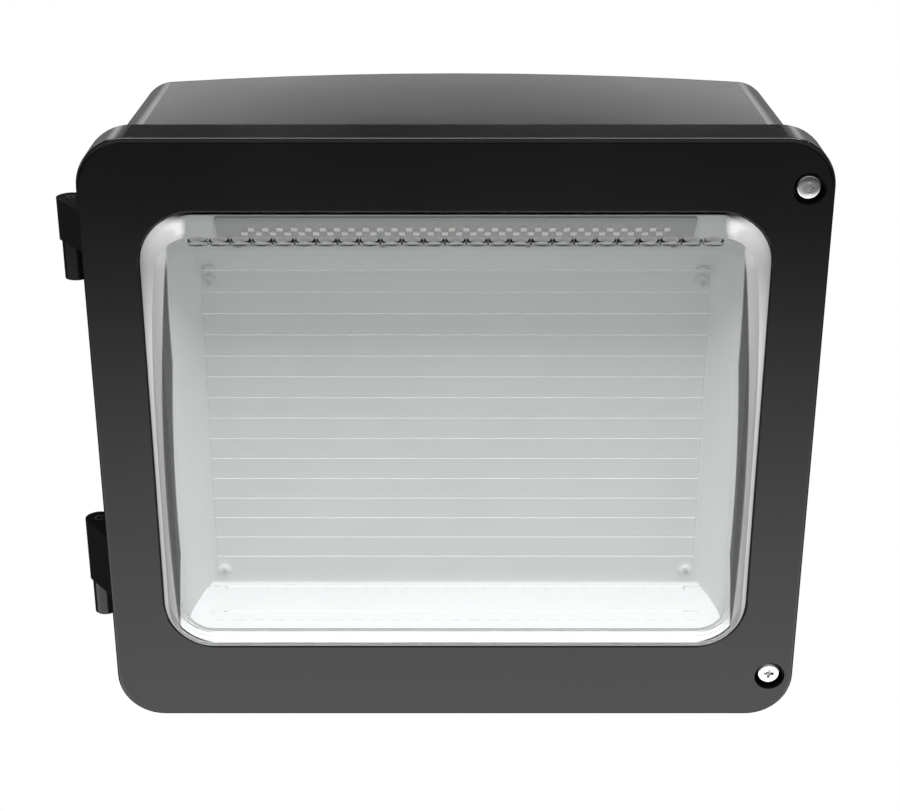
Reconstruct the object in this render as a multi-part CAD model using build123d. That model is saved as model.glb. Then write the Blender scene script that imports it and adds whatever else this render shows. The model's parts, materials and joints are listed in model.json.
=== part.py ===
"""Wall pack light: a die-cast outdoor luminaire with a hinged door and a prismatic glass lens.

Millimetres, +Z up. The origin is the centre of the flat back, which stands against the wall,
and the door faces -Y. "Reach" below is a distance out from the wall, so a reach of r is y = -r.
"""
from build123d import *
import math
import os

# --- overall sizes -------------------------------------------------------------------------------
overall_depth = 180.0        # wall to the front of the door frame
draft_angle = 1.2            # casting draft of the housing's sides, degrees

# --- door frame ----------------------------------------------------------------------------------
door_width = 360.0
door_height = 318.0
door_thickness = 26.0
door_corner = 24.0
door_front_edge = 2.5        # rounding of the outer front edge
door_plate = 4.0             # thickness of the front plate
door_skirt = 4.0             # thickness of the outer wall

# --- window and lens -----------------------------------------------------------------------------
border_side = 27.5           # door face left at each side of the window
border_top = 36.0            # door face left above the window
border_foot = 43.0           # door face left below the window
window_corner = 27.0
window_edge = 0.8            # rounding of the window's front edge
lens_clearance = 1.0
lens_stand = 10.0            # how far the lens stands out of the door
lens_wall = 4.5
lens_edge = 14.5             # rounding between the lens's side walls and its face
lens_flange = 5.5            # width of the flange behind the door plate
lens_flange_thickness = 5.0
lens_gasket_thickness = 1.0
prism_pitch = 11.05
prism_count = 15
prism_lift = 10.3            # of the prisms' middle above the window's centre
prism_margin = 29.7          # from the lens's side to a prism's end
prism_edge = 4.4             # from a prism's crest to its pitch line
prism_rise = 2.5
prism_root = 0.6             # how far a prism is rooted in the glass

# --- seal between door and housing ---------------------------------------------------------------
rim_gap = 0.6                # between the closed door and the housing's rim
pocket_side = 6.0            # from the window's side edge to the pocket wall
pocket_end = 18.0            # from the window's top or bottom edge to the pocket wall
pocket_wall = 3.5
pocket_corner = 33.0
channel_clearance = 1.0      # each side of the pocket wall
channel_depth = 3.5
gasket_clearance = 0.2
gasket_below_door = 0.3      # the seal's face stays this far from the pocket wall

# --- housing -------------------------------------------------------------------------------------
overhang_side = 4.0          # how far the door stands out past the housing's rim
overhang_top = 5.0           # and above the crown of its top face
overhang_foot = 7.0
housing_crown = 6.0          # rise of the top face between its corners
housing_corner = 20.0
housing_wall = 3.2
back_wall = 4.0
back_edge = 16.0             # rounding round the back
rim_depth = 10.0
rim_ledge = 4.0              # rim left inside the seal channel

# --- wall side -----------------------------------------------------------------------------------
bolt_spacing_x = 220.0
bolt_spacing_z = 220.0
bolt_hole = 7.0
entry_hole = 22.2
entry_height = 60.0
wall_gasket_side = 24.0      # from the housing's side to the gasket
wall_gasket_end = 23.0       # from the housing's shoulder to the gasket
wall_gasket_band = 8.0
wall_gasket_thickness = 1.5
wall_gasket_corner = 12.0
conduit_hole = 21.0
conduit_reach = 50.0         # conduit entries' distance from the wall
conduit_boss = 33.0
conduit_boss_length = 13.0
conduit_boss_proud = 1.2
plug_collar = 27.0
plug_collar_thickness = 2.2
plug_length = 12.0
plug_socket = 10.0
plug_socket_depth = 7.0
plug_chamfer = 0.4

# --- hinges --------------------------------------------------------------------------------------
hinge_offset = 8.0           # axis beyond the door's side
door_knuckle = 14.2
housing_knuckle = 12.0
knuckle_gap = 0.3
knuckle_reach_side = 4.0     # front of the door lug, behind the door's front face
knuckle_web_gap = 1.5        # rear of the door lug's web, in front of the door's rear face
hinge_top_inset = 36.0       # upper door knuckle below the door's top
hinge_foot_inset = 71.0      # lower door knuckle above the door's foot
door_knuckle_lengths = (21.0, 35.0)
housing_knuckle_length = 20.0
hinge_arm_clearance = 1.0
hinge_pin = 5.0
hinge_pin_bore = 2.5
hinge_pin_slot = 0.8
pin_running_clearance = 0.05
pin_seat_clearance = 0.02

# --- door screws ---------------------------------------------------------------------------------
screw_side = 12.5            # from the door's side to a screw
screw_end = 24.5             # from the door's top or foot to a screw
screw_head = 12.5
screw_head_height = 4.6
screw_head_depth = 2.5       # head's face behind the door's front
screw_shank = 5.0            # the thread's core
screw_thread_hole = 6.0      # the tapped hole's major diameter
screw_hole = 6.6
screw_engagement = 7.0
screw_travel = 8.0
counterbore = 16.0
counterbore_wall = 3.0
counterbore_floor = 5.5
retainer_diameter = 11.0
retainer_thickness = 1.0
retainer_end_gap = 0.3
screw_boss = 12.0
screw_boss_length = 30.0
tapped_extra = 10.0          # tapped hole beyond the screw's tip

# --- reflector tray ------------------------------------------------------------------------------
tray_reach = 145.0
tray_sheet = 1.2
tray_inset_side = 22.5       # the tray's flat panel, inside the window's sides
tray_inset_head = 26.0       # below the window's top
tray_inset_foot = 21.0       # above the window's foot
tray_slope = 21.5            # forward run of its four sides, which splay out at 45 degrees
tray_screw_side = 7.0        # from the panel's edges to its screws
tray_screw_below_head = 16.0
tray_screw_above_foot = 13.0
bracket_sheet = 3.0
bracket_inset = 1.0          # from the panel's side to the bracket's end
bracket_leg = 26.0
bracket_slope = 28.0

# --- LED board -----------------------------------------------------------------------------------
board_inset = 13.0           # from the panel's side to the board's end
board_corner = 2.0
board_depth = 27.0
board_thickness = 1.6
led_size = 3.0
led_height = 0.8
led_pitch = 7.0
led_rows = 2
led_row_spacing = 4.0
led_end_margin = 12.0        # least board length left at each end of the LED rows
led_shift = 2.6              # of the LED rows above the board's centre line
board_screw_inset = 9.0      # from the board's end to its outer screws
board_screw_offset = -9.5    # below the board's centre line
connector_inset = 17.0       # from the board's end to the connector's centre
connector_width = 12.0
connector_height = 8.0
connector_depth = 13.0
connector_clearance = 1.0

# --- control gear --------------------------------------------------------------------------------
post_diameter = 10.0
pad_diameter = 9.0
pad_height = 6.0
pad_hole_floor = 0.5         # metal left between a pad's hole and the back's inner face
post_hole_depth = 16.0
driver_length = 140.0
driver_width = 64.0
driver_depth = 34.0
driver_height = -70.0
driver_ear = 14.0
driver_ear_thickness = 2.0
driver_ear_width = 25.6
driver_corner = 4.0
driver_edge = 2.0
surge_length = 45.0
surge_width = 30.0
surge_depth = 25.0
surge_x = 60.0
surge_ear = 13.0
surge_ear_width = 12.0
gear_edge = 1.0              # chamfer of the moulded blocks
gear_corner = 2.0
terminal_length = 46.0
terminal_width = 22.0
terminal_depth = 20.0
terminal_x = -70.0
gear_height = 30.0           # height of the terminal block and the surge protector
ground_x = -30.0
ground_height = 96.0
clamp_recess = 6.0           # a clamp screw's seat below the terminal block's face
clamp_bore = 13.0            # and the end of its hole
lead_diameter = 2.6
lead_spacing = 20.0          # between the two leads at each end of the driver
lead_arc = 0.45              # share of the shorter run beside it that a bend takes up
ring_terminal = 10.0
ring_thickness = 1.0

# --- small fasteners -----------------------------------------------------------------------------
m4_head = 7.5
m4_head_height = 2.6
m4_shank = 4.0
m3_head = 5.6
m3_head_height = 2.0
m3_shank = 3.0
shank_clearance = 0.1
tray_screw_length = 14.0
gear_screw_length = 5.0
clip_screw_length = 8.0
clamp_screw_length = 6.0
board_screw_length = 7.0
clip_corner = 2.0
clip_pad_root = 0.5          # how far a clip's pad is rooted in the door's plate
head_rounding = 0.6          # of a pan head's edge, as a share of its height
recess_depth = 0.6           # of the cross recess, as a share of the head's height
recess_span = 0.52           # and across the recess, as shares of the head's diameter
recess_blade = 0.11
clip_width = 16.0
clip_length = 18.0
clip_sheet = 1.5
clip_xs = (-90.0, 0.0, 90.0)
over = 1.0                   # how far a cut runs past the face that it opens

# --- sizes that follow ---------------------------------------------------------------------------
window_width = door_width - 2 * border_side
window_height = door_height - border_top - border_foot
window_centre = (border_foot - border_top) / 2
window_top = door_height / 2 - border_top
window_foot = border_foot - door_height / 2
housing_width = door_width - 2 * overhang_side
housing_foot = door_height / 2 - overhang_foot                      # below the centre, at the rim
housing_shoulder = door_height / 2 - overhang_top - housing_crown   # top corners, at the rim
wall_gasket_width = housing_width - 2 * wall_gasket_side
wall_gasket_height = 2 * (housing_shoulder - wall_gasket_end)
parting = overall_depth - door_thickness
rim = parting - rim_gap
plate_back = overall_depth - door_plate
flange_front = plate_back - lens_gasket_thickness
flange_back = flange_front - lens_flange_thickness
lens_front = overall_depth + lens_stand
lens_width = window_width - 2 * lens_clearance
lens_height = window_height - 2 * lens_clearance
lens_corner = window_corner - lens_clearance
prism_length = lens_width - 2 * prism_margin
flange_width = window_width + 2 * lens_flange
flange_height = window_height + 2 * lens_flange
pocket_width = window_width + 2 * pocket_side
pocket_height = window_height + 2 * pocket_end
pad_length = pocket_end - lens_flange - lens_clearance
hinge_reach = parting
hinge_axis_x = -door_width / 2 - hinge_offset
upper_hinge_top = door_height / 2 - hinge_top_inset
lower_hinge_top = hinge_foot_inset + door_knuckle_lengths[1] - door_height / 2
hinge_tops = (upper_hinge_top, lower_hinge_top)
screw_x = door_width / 2 - screw_side
screw_height = door_height / 2 - screw_end
counterbore_reach = overall_depth - screw_head_depth - screw_head_height
boss_rear = counterbore_reach - counterbore_floor
tray_half_width = window_width / 2 - tray_inset_side
tray_head = window_top - tray_inset_head
tray_foot = window_foot + tray_inset_foot
tray_screw_x = tray_half_width - tray_screw_side
tray_screw_top = tray_head - tray_screw_below_head
tray_screw_foot = tray_foot + tray_screw_above_foot
bracket_half_width = tray_half_width - bracket_inset
board_width = 2 * (tray_half_width - board_inset)
board_centre = tray_slope / 2
leds_per_row = round((board_width - 2 * led_end_margin) / led_pitch)
outer_board_screw = board_width / 2 - board_screw_inset
board_screw_xs = [step * outer_board_screw / 3 for step in (-3, -1, 1, 3)]
connector_x = board_width / 2 - connector_inset

os.makedirs("parts", exist_ok=True)


def save(name, *solids):
    """Write one node: a single solid, or a group of like solids."""
    shape = solids[0] if len(solids) == 1 else Compound(children=list(solids))
    shape.label = name
    export_step(shape, f"parts/{name}.step")


def facing(x, reach, z):
    """A place on the lamp whose local Z points out of the wall and local Y points up."""
    return Plane(origin=(x, -reach, z), x_dir=(1, 0, 0), z_dir=(0, -1, 0))


def slab(width, height, corner, reach, thickness, centre=0.0):
    """A rounded plate parallel to the wall, from reach outwards by thickness."""
    outline = facing(0, reach, centre) * RectangleRounded(width, height, corner)
    return extrude(outline, thickness)


def ring(width, height, corner, band, reach, thickness, centre=0.0):
    """A rounded frame parallel to the wall, band wide, measured inwards from its outline."""
    inner = slab(width - 2 * band, height - 2 * band, corner - band, reach - over,
                 thickness + 2 * over, centre)
    return slab(width, height, corner, reach, thickness, centre) - inner


def rod(diameter, x, z, reach, length):
    """A round bar standing straight out from the wall."""
    return extrude(facing(x, reach, z) * Circle(diameter / 2), length)


def pan_screw(head, head_height, shank, length):
    """A pan head screw along Z: its head stands above Z = 0 and its shank runs below."""
    top = Cylinder(head / 2, head_height, align=(Align.CENTER, Align.CENTER, Align.MIN))
    top = fillet(top.edges().sort_by(Axis.Z)[-1], head_height * head_rounding)
    blade = head * recess_blade
    span = head * recess_span
    depth = head_height * recess_depth
    low = (Align.CENTER, Align.CENTER, Align.MIN)
    cross = Box(span, blade, depth, align=low) + Box(blade, span, depth, align=low)
    cross = Pos(0, 0, head_height - depth) * cross
    stem = Cylinder(shank / 2, length, align=(Align.CENTER, Align.CENTER, Align.MAX))
    return top - cross + stem


# --- rear housing: one aluminium die casting -----------------------------------------------------
def housing_section(inset, reach):
    """The housing's outline, inset evenly from its outer surface at the rim, crowned on top."""
    half = housing_width / 2 - inset
    foot = -housing_foot + inset
    shoulder = housing_shoulder - inset
    sides = Polyline((-half, shoulder), (-half, foot), (half, foot), (half, shoulder))
    top = ThreePointArc((half, shoulder), (0, shoulder + housing_crown), (-half, shoulder))
    outline = make_face(sides + top)
    return facing(0, reach, 0) * fillet(outline.vertices(), housing_corner - inset)


def tapered_block(inset, front, back, edge):
    """A drafted block running from the front reach to the back reach, rounded round its back."""
    body = extrude(housing_section(inset, front), front - back, dir=(0, 1, 0), taper=draft_angle)
    return fillet(body.edges().group_by(Axis.Y)[-1], edge)


def outer_side(reach):
    """Half-width of the housing's outside at a reach, after its draft."""
    return housing_width / 2 - (rim - reach) * math.tan(math.radians(draft_angle))


def outer_foot(reach):
    """Depth of the housing's underside below the centre at a reach, after its draft."""
    return housing_foot - (rim - reach) * math.tan(math.radians(draft_angle))


def knuckle_place(top):
    """A plane across the hinge axis at height top: local X is +X, local Y forwards, local Z down."""
    return Plane(origin=(hinge_axis_x, -hinge_reach, top), x_dir=(1, 0, 0), z_dir=(0, 0, -1))


def housing_arm(top):
    """A housing knuckle with its arm, which stays behind the closed door."""
    radius = housing_knuckle / 2
    edge = radius * math.sqrt(0.5)
    reach_in = -hinge_axis_x - outer_side(hinge_reach) + housing_wall / 2
    arm = Polygon(
        (0, -hinge_arm_clearance),
        (-edge, -edge),
        (reach_in, -edge * 2 - reach_in),
        (reach_in, -hinge_arm_clearance),
        align=None,
    )
    return extrude(knuckle_place(top) * (Circle(radius) + arm), housing_knuckle_length)


def conduit_place(angle, distance):
    """A conduit entry's plane: local Z points out of the housing; angle 0 is the +X side."""
    turn = math.radians(angle)
    outward = (math.cos(turn), 0, math.sin(turn))
    place = (outward[0] * distance, -conduit_reach, outward[2] * distance)
    return Plane(origin=place, x_dir=(0, 1, 0), z_dir=outward)


conduit_seats = [
    conduit_place(0, outer_side(conduit_reach) + conduit_boss_proud),
    conduit_place(180, outer_side(conduit_reach) + conduit_boss_proud),
    conduit_place(270, outer_foot(conduit_reach) + conduit_boss_proud),
]

knuckle_tops = [top - length - knuckle_gap for top, length in zip(hinge_tops, door_knuckle_lengths)]
screw_spots = [(screw_x, screw_height), (screw_x, -screw_height)]
bolt_spots = [(sx * bolt_spacing_x / 2, sz * bolt_spacing_z / 2) for sx in (-1, 1) for sz in (-1, 1)]
bracket_posts = [(-tray_screw_x, tray_screw_top), (tray_screw_x, tray_screw_top)]
tray_posts = [(-tray_screw_x, tray_screw_foot), (tray_screw_x, tray_screw_foot)]
driver_screws = [(sx * (driver_length + driver_ear) / 2, driver_height) for sx in (-1, 1)]
surge_screw = (surge_x + (surge_length + surge_ear) / 2, gear_height)
ground_spot = (ground_x, ground_height)
pads = driver_screws + [surge_screw, ground_spot]
pad_reach = back_wall + pad_height

channel_width = pocket_width + 2 * pocket_wall + 2 * channel_clearance
channel_height = pocket_height + 2 * pocket_wall + 2 * channel_clearance
channel_band = pocket_wall + 2 * channel_clearance
channel_corner = pocket_corner + pocket_wall + channel_clearance
opening_width = channel_width - 2 * channel_band - 2 * rim_ledge
opening_height = channel_height - 2 * channel_band - 2 * rim_ledge
opening_corner = channel_corner - channel_band - rim_ledge

housing = tapered_block(0, rim, 0, back_edge)
housing -= tapered_block(housing_wall, rim - rim_depth, back_wall, back_edge - housing_wall)
housing -= slab(opening_width, opening_height, opening_corner, rim - rim_depth - over,
                rim_depth + 2 * over, window_centre)
housing -= ring(channel_width, channel_height, channel_corner, channel_band, rim - channel_depth,
                channel_depth + over, window_centre)
for x, z in screw_spots:
    housing += rod(screw_boss, x, z, rim - screw_boss_length, screw_boss_length)
    tapped = screw_engagement + tapped_extra
    housing -= rod(screw_thread_hole, x, z, rim - tapped, tapped + over)
for x, z in bracket_posts:
    post_end = tray_reach - tray_sheet - bracket_sheet
    housing += rod(post_diameter, x, z, back_wall / 2, post_end - back_wall / 2)
    housing -= rod(m4_shank + 2 * shank_clearance, x, z, post_end - post_hole_depth, post_hole_depth + over)
for x, z in tray_posts:
    post_end = tray_reach - tray_sheet
    housing += rod(post_diameter, x, z, back_wall / 2, post_end - back_wall / 2)
    housing -= rod(m4_shank + 2 * shank_clearance, x, z, post_end - post_hole_depth, post_hole_depth + over)
for x, z in pads:
    housing += rod(pad_diameter, x, z, back_wall / 2, pad_reach - back_wall / 2)
    housing -= rod(m4_shank + 2 * shank_clearance, x, z, back_wall + pad_hole_floor, pad_height)
for x, z in bolt_spots:
    housing -= rod(bolt_hole, x, z, -over, back_wall + 2 * over)
housing -= rod(entry_hole, 0, entry_height, -over, back_wall + 2 * over)
housing -= ring(wall_gasket_width, wall_gasket_height, wall_gasket_corner, wall_gasket_band, -over,
                wall_gasket_thickness + over)
for seat in conduit_seats:
    housing += extrude(seat * Circle(conduit_boss / 2), -conduit_boss_length)
    housing -= extrude(seat * Circle(conduit_hole / 2), -conduit_boss_length - over, both=True)
for top in knuckle_tops:
    housing += housing_arm(top)
    bore = Cylinder(hinge_pin / 2 + pin_seat_clearance, housing_knuckle_length * 3)
    housing -= Pos(hinge_axis_x, -hinge_reach, top - housing_knuckle_length / 2) * bore
save("rear_housing", housing.solid())

# --- wall gasket: flat foam rubber in the back's groove ------------------------------------------
wall_gasket = ring(
    wall_gasket_width - 2 * gasket_clearance,
    wall_gasket_height - 2 * gasket_clearance,
    wall_gasket_corner - gasket_clearance,
    wall_gasket_band - 2 * gasket_clearance,
    0,
    wall_gasket_thickness,
)
save("wall_gasket", wall_gasket.solid())

# --- door gasket: silicone rubber in the rim's channel, which the pocket wall presses on ---------
door_gasket = ring(
    channel_width - 2 * gasket_clearance,
    channel_height - 2 * gasket_clearance,
    channel_corner - gasket_clearance,
    channel_band - 2 * gasket_clearance,
    rim - channel_depth,
    channel_depth + rim_gap - gasket_below_door,
    window_centre,
)
save("door_gasket", door_gasket.solid())

# --- close-up plugs: threaded aluminium plugs with a socket --------------------------------------
plugs = []
for seat in conduit_seats:
    body = extrude(seat * Circle(conduit_hole / 2 - shank_clearance), -plug_length)
    collar = chamfer(extrude(seat * Circle(plug_collar / 2), plug_collar_thickness).edges(), plug_chamfer)
    socket = seat * Pos(0, 0, plug_collar_thickness) * RegularPolygon(plug_socket / 2, 6, major_radius=False)
    plugs.append((body + collar - extrude(socket, -plug_socket_depth)).solid())
save("conduit_plugs", *plugs)

# --- door frame: one aluminium die casting, hollow from behind -----------------------------------
clip_reach = flange_back
clip_pads = []
for x in clip_xs:
    pad_top = window_top + lens_flange + lens_clearance + pad_length / 2
    pad_foot = window_foot - lens_flange - lens_clearance - pad_length / 2
    clip_pads.append((x, pad_top, 1))
    clip_pads.append((x, pad_foot, -1))


def door_lug(top, length):
    """A door knuckle whose web runs forward to the door's side wall, like a drop."""
    radius = door_knuckle / 2
    side = -hinge_axis_x - door_width / 2
    root = side + door_skirt / 2
    front = door_thickness - knuckle_reach_side
    touch = math.atan2(front, side) + math.acos(radius / math.hypot(front, side))
    web = Polygon(
        (0, 0),
        (root, knuckle_web_gap),
        (root, front),
        (side, front),
        (radius * math.cos(touch), radius * math.sin(touch)),
        align=None,
    )
    return extrude(knuckle_place(top) * (Circle(radius) + web), length)


door = slab(door_width, door_height, door_corner, parting, door_thickness)
door = fillet(door.faces().sort_by(Axis.Y)[0].edges(), door_front_edge)
hollow = slab(door_width - 2 * door_skirt, door_height - 2 * door_skirt, door_corner - door_skirt,
              parting - over, plate_back - parting + over)
pocket_block = slab(pocket_width + 2 * pocket_wall, pocket_height + 2 * pocket_wall,
                    pocket_corner + pocket_wall, parting - 2 * over, plate_back - parting + 3 * over,
                    window_centre)
door -= hollow - pocket_block
door -= slab(pocket_width, pocket_height, pocket_corner, parting - over, plate_back - parting + over,
             window_centre)
door -= slab(window_width, window_height, window_corner, parting - over, door_thickness + 2 * over,
             window_centre)
front_edges = door.edges().filter_by(lambda edge: abs(edge.center().Y + overall_depth) < 0.01)
inner_edges = [edge for edge in front_edges if abs(edge.center().X) < window_width / 2 + over
               and abs(edge.center().Z - window_centre) < window_height / 2 + over]
door = fillet(inner_edges, window_edge)
for x, z in screw_spots:
    boss = counterbore + 2 * counterbore_wall
    door += rod(boss, x, z, boss_rear, overall_depth - boss_rear - door_plate / 2)
    door -= rod(counterbore, x, z, counterbore_reach, overall_depth)
    door -= rod(screw_hole, x, z, boss_rear - over, counterbore_floor + 2 * over)
for x, z, side in clip_pads:
    pad = facing(x, clip_reach, z) * Rectangle(clip_width, pad_length)
    door += extrude(pad, plate_back - clip_reach + clip_pad_root)
    door -= rod(m4_shank + 2 * shank_clearance, x, z, clip_reach - over, clip_screw_length + over)
for top, length in zip(hinge_tops, door_knuckle_lengths):
    door += door_lug(top, length)
    bore = Cylinder(hinge_pin / 2 + pin_running_clearance, length * 3)
    door -= Pos(hinge_axis_x, -hinge_reach, top - length / 2) * bore
save("door_frame", door.solid())

# --- hinge pins: slotted spring-steel roll pins --------------------------------------------------
for name, top, length in zip(("upper", "lower"), hinge_tops, door_knuckle_lengths):
    pin_length = length + knuckle_gap + housing_knuckle_length
    low = (Align.CENTER, Align.CENTER, Align.MAX)
    pin = Cylinder(hinge_pin / 2, pin_length, align=low) - Cylinder(hinge_pin_bore / 2, pin_length, align=low)
    pin -= Pos(hinge_pin / 2, 0, 0) * Box(hinge_pin, hinge_pin_slot, pin_length, align=low)
    save(f"hinge_pin_{name}", (Pos(hinge_axis_x, -hinge_reach, top) * pin).solid())

# --- lens: pressed glass with a clamped flange and horizontal prisms inside ----------------------
lens = slab(lens_width, lens_height, lens_corner, flange_back, lens_front - flange_back, window_centre)
lens = fillet(lens.faces().sort_by(Axis.Y)[0].edges(), lens_edge)
lens += slab(flange_width, flange_height, window_corner + lens_flange, flange_back, lens_flange_thickness,
             window_centre)
lens_inside = slab(lens_width - 2 * lens_wall, lens_height - 2 * lens_wall, lens_corner - lens_wall,
                   flange_back - over, lens_front - lens_wall - flange_back + over, window_centre)
lens -= fillet(lens_inside.faces().sort_by(Axis.Y)[0].edges(), lens_edge - lens_wall / 2)
glass_inside = lens_front - lens_wall
for index in range(prism_count):
    prism_height = window_centre + prism_lift + (index - (prism_count - 1) / 2) * prism_pitch
    prism = Polygon(
        (-glass_inside - prism_root, prism_height - prism_pitch / 2),
        (-glass_inside, prism_height - prism_pitch / 2),
        (-glass_inside + prism_rise, prism_height + prism_edge),
        (-glass_inside, prism_height + prism_pitch / 2),
        (-glass_inside - prism_root, prism_height + prism_pitch / 2),
        align=None,
    )
    lens += extrude(Plane.YZ * prism, prism_length / 2, both=True)
save("lens", lens.solid())

# --- lens gasket: flat silicone between the flange and the door plate ----------------------------
lens_gasket = ring(flange_width, flange_height, window_corner + lens_flange, lens_flange, flange_front,
                   lens_gasket_thickness, window_centre)
save("lens_gasket", lens_gasket.solid())

# --- lens clips: steel strips screwed to pads in the door ----------------------------------------
clips = []
clip_screws = []
clip_shift = (clip_length - pad_length) / 2
for x, z, side in clip_pads:
    strip = facing(x, clip_reach - clip_sheet, z - side * clip_shift)
    strip *= RectangleRounded(clip_width, clip_length, clip_corner)
    hole = rod(m4_shank + 2 * shank_clearance, x, z, clip_reach - clip_sheet - over, clip_sheet + 2 * over)
    clip = extrude(strip, clip_sheet) - hole
    clips.append(clip.solid())
    back_face = Plane(origin=(x, -(clip_reach - clip_sheet), z), x_dir=(-1, 0, 0), z_dir=(0, 1, 0))
    screw = pan_screw(m4_head, m4_head_height, m4_shank, clip_screw_length)
    clip_screws.append((back_face.location * screw).solid())
save("lens_clips", *clips)
save("lens_clip_screws", *clip_screws)

# --- captive door screws, each with a retaining washer behind the door ---------------------------
screw_length = counterbore_reach - (rim - screw_engagement)
retainer_front = boss_rear - screw_travel - retainer_end_gap
for name, (x, z) in zip(("upper", "lower"), screw_spots):
    screw = pan_screw(screw_head, screw_head_height, screw_shank, screw_length)
    save(f"door_screw_{name}", (facing(x, counterbore_reach, z).location * screw).solid())
    washer = rod(retainer_diameter, x, z, retainer_front - retainer_thickness, retainer_thickness)
    bore = screw_shank + 2 * pin_running_clearance
    washer -= rod(bore, x, z, retainer_front - retainer_thickness - over, retainer_thickness + 2 * over)
    save(f"screw_retainer_{name}", washer.solid())

# --- reflector: a white sheet pan whose four sides splay out towards the window -------------------
fold = math.tan(math.radians(22.5))
slant = math.sqrt(0.5)


def pan_block(floor_reach, growth):
    """A frustum from a reach out to the pan's rim, its sides moved out by growth."""
    levels = []
    for reach in (floor_reach, tray_reach + tray_slope):
        spread = reach - tray_reach + growth
        outline = Rectangle(2 * (tray_half_width + spread), tray_head - tray_foot + 2 * spread)
        levels.append(facing(0, reach, (tray_head + tray_foot) / 2) * outline)
    return loft(levels, ruled=True)


tray = pan_block(tray_reach - tray_sheet, tray_sheet / slant) - pan_block(tray_reach, 0)

# Local Z of the slope's plane leaves the sheet's lit face, and local Y runs up the slope.
slope = Plane(
    origin=(0, -tray_reach - board_centre, tray_head + board_centre),
    x_dir=(1, 0, 0),
    z_dir=(0, -slant, -slant),
)
cutout = slope * Pos(connector_x, 0, 0) * Rectangle(
    connector_width + 2 * connector_clearance, connector_height + 2 * connector_clearance)
cutout_block = extrude(cutout, tray_sheet + bracket_sheet + over, both=True)
for x, z in bracket_posts + tray_posts:
    tray -= rod(m4_shank + 2 * shank_clearance, x, z, tray_reach - tray_sheet - over, tray_sheet + 2 * over)
tray -= cutout_block
board_screw_depth = tray_sheet + bracket_sheet + board_thickness + over
board_hole = Circle(m3_shank / 2 + shank_clearance)
board_holes = [
    extrude(slope * Pos(x, board_screw_offset) * board_hole, board_screw_depth, both=True)
    for x in board_screw_xs
]
for hole in board_holes:
    tray -= hole
save("reflector", tray.solid())

# --- LED bracket: bent aluminium behind the tray's upper slope, which spreads the heat -----------
front = []
back = []
for points, depth in ((front, tray_sheet), (back, tray_sheet + bracket_sheet)):
    points.append((-tray_reach + depth, tray_head - bracket_leg))
    points.append((-tray_reach + depth, tray_head + depth * fold))
    run = bracket_slope * slant
    points.append((-tray_reach - run + depth * slant, tray_head + run + depth * slant))
bracket = Plane.YZ * make_face(Polyline(*front, *reversed(back), close=True))
bracket = extrude(bracket, bracket_half_width, both=True)
for x, z in bracket_posts:
    behind = tray_reach - tray_sheet - bracket_sheet - over
    bracket -= rod(m4_shank + 2 * shank_clearance, x, z, behind, bracket_sheet + 2 * over)
bracket -= cutout_block
for hole in board_holes:
    bracket -= hole
save("led_bracket", bracket.solid())

# --- reflector screws ----------------------------------------------------------------------------
reflector_screws = []
for x, z in bracket_posts + tray_posts:
    screw = pan_screw(m4_head, m4_head_height, m4_shank, tray_screw_length)
    reflector_screws.append((facing(x, tray_reach, z).location * screw).solid())
save("reflector_screws", *reflector_screws)

# --- LED board, its LEDs, screws and rear connector ----------------------------------------------
board = extrude(slope * RectangleRounded(board_width, board_depth, board_corner), board_thickness)
for hole in board_holes:
    board -= hole
save("led_board", board.solid())

leds = []
for row in range(led_rows):
    offset = (row - (led_rows - 1) / 2) * led_row_spacing
    stagger = (row - (led_rows - 1) / 2) * led_pitch / 2
    for index in range(leds_per_row):
        x = (index - (leds_per_row - 1) / 2) * led_pitch + stagger
        place = slope * Pos(x, offset + led_shift, board_thickness)
        leds.append(extrude(place * Rectangle(led_size, led_size), led_height).solid())
save("leds", *leds)

board_screws = []
for x in board_screw_xs:
    place = slope * Pos(x, board_screw_offset, board_thickness)
    board_screws.append((place * pan_screw(m3_head, m3_head_height, m3_shank, board_screw_length)).solid())
save("led_board_screws", *board_screws)

connector = slope * Pos(connector_x, 0) * Rectangle(connector_width, connector_height)
connector = extrude(connector, -connector_depth)
save("led_connector", connector.solid())

# --- LED driver: a closed can with two ears ------------------------------------------------------
can = facing(0, pad_reach, driver_height) * RectangleRounded(driver_length, driver_width, driver_corner)
driver = extrude(can, driver_depth)
driver = fillet(driver.faces().sort_by(Axis.Y)[0].edges(), driver_edge)
ears = facing(0, pad_reach, driver_height) * RectangleRounded(
    driver_length + 2 * driver_ear, driver_ear_width, driver_corner)
driver += extrude(ears, driver_ear_thickness)
for x, z in driver_screws:
    driver -= rod(m4_shank + 2 * shank_clearance, x, z, pad_reach - over, driver_ear_thickness + 2 * over)
save("led_driver", driver.solid())

# --- surge protector: a potted block with one ear ------------------------------------------------
block = facing(surge_x, pad_reach, gear_height) * RectangleRounded(surge_length, surge_width, gear_corner)
surge = chamfer(extrude(block, surge_depth).faces().sort_by(Axis.Y)[0].edges(), gear_edge)
ear = facing(surge_x + surge_length / 2, pad_reach, gear_height) * Rectangle(2 * surge_ear, surge_ear_width)
surge += extrude(ear, driver_ear_thickness)
surge -= rod(m4_shank + 2 * shank_clearance, *surge_screw, pad_reach - over, driver_ear_thickness + 2 * over)
save("surge_protector", surge.solid())

gear_screws = []
for x, z in driver_screws:
    screw = pan_screw(m4_head, m4_head_height, m4_shank, gear_screw_length)
    gear_screws.append((facing(x, pad_reach + driver_ear_thickness, z).location * screw).solid())
save("driver_screws", *gear_screws)
screw = pan_screw(m4_head, m4_head_height, m4_shank, gear_screw_length)
surge_screw_place = facing(surge_screw[0], pad_reach + driver_ear_thickness, surge_screw[1])
save("surge_protector_screw", (surge_screw_place.location * screw).solid())

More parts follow.
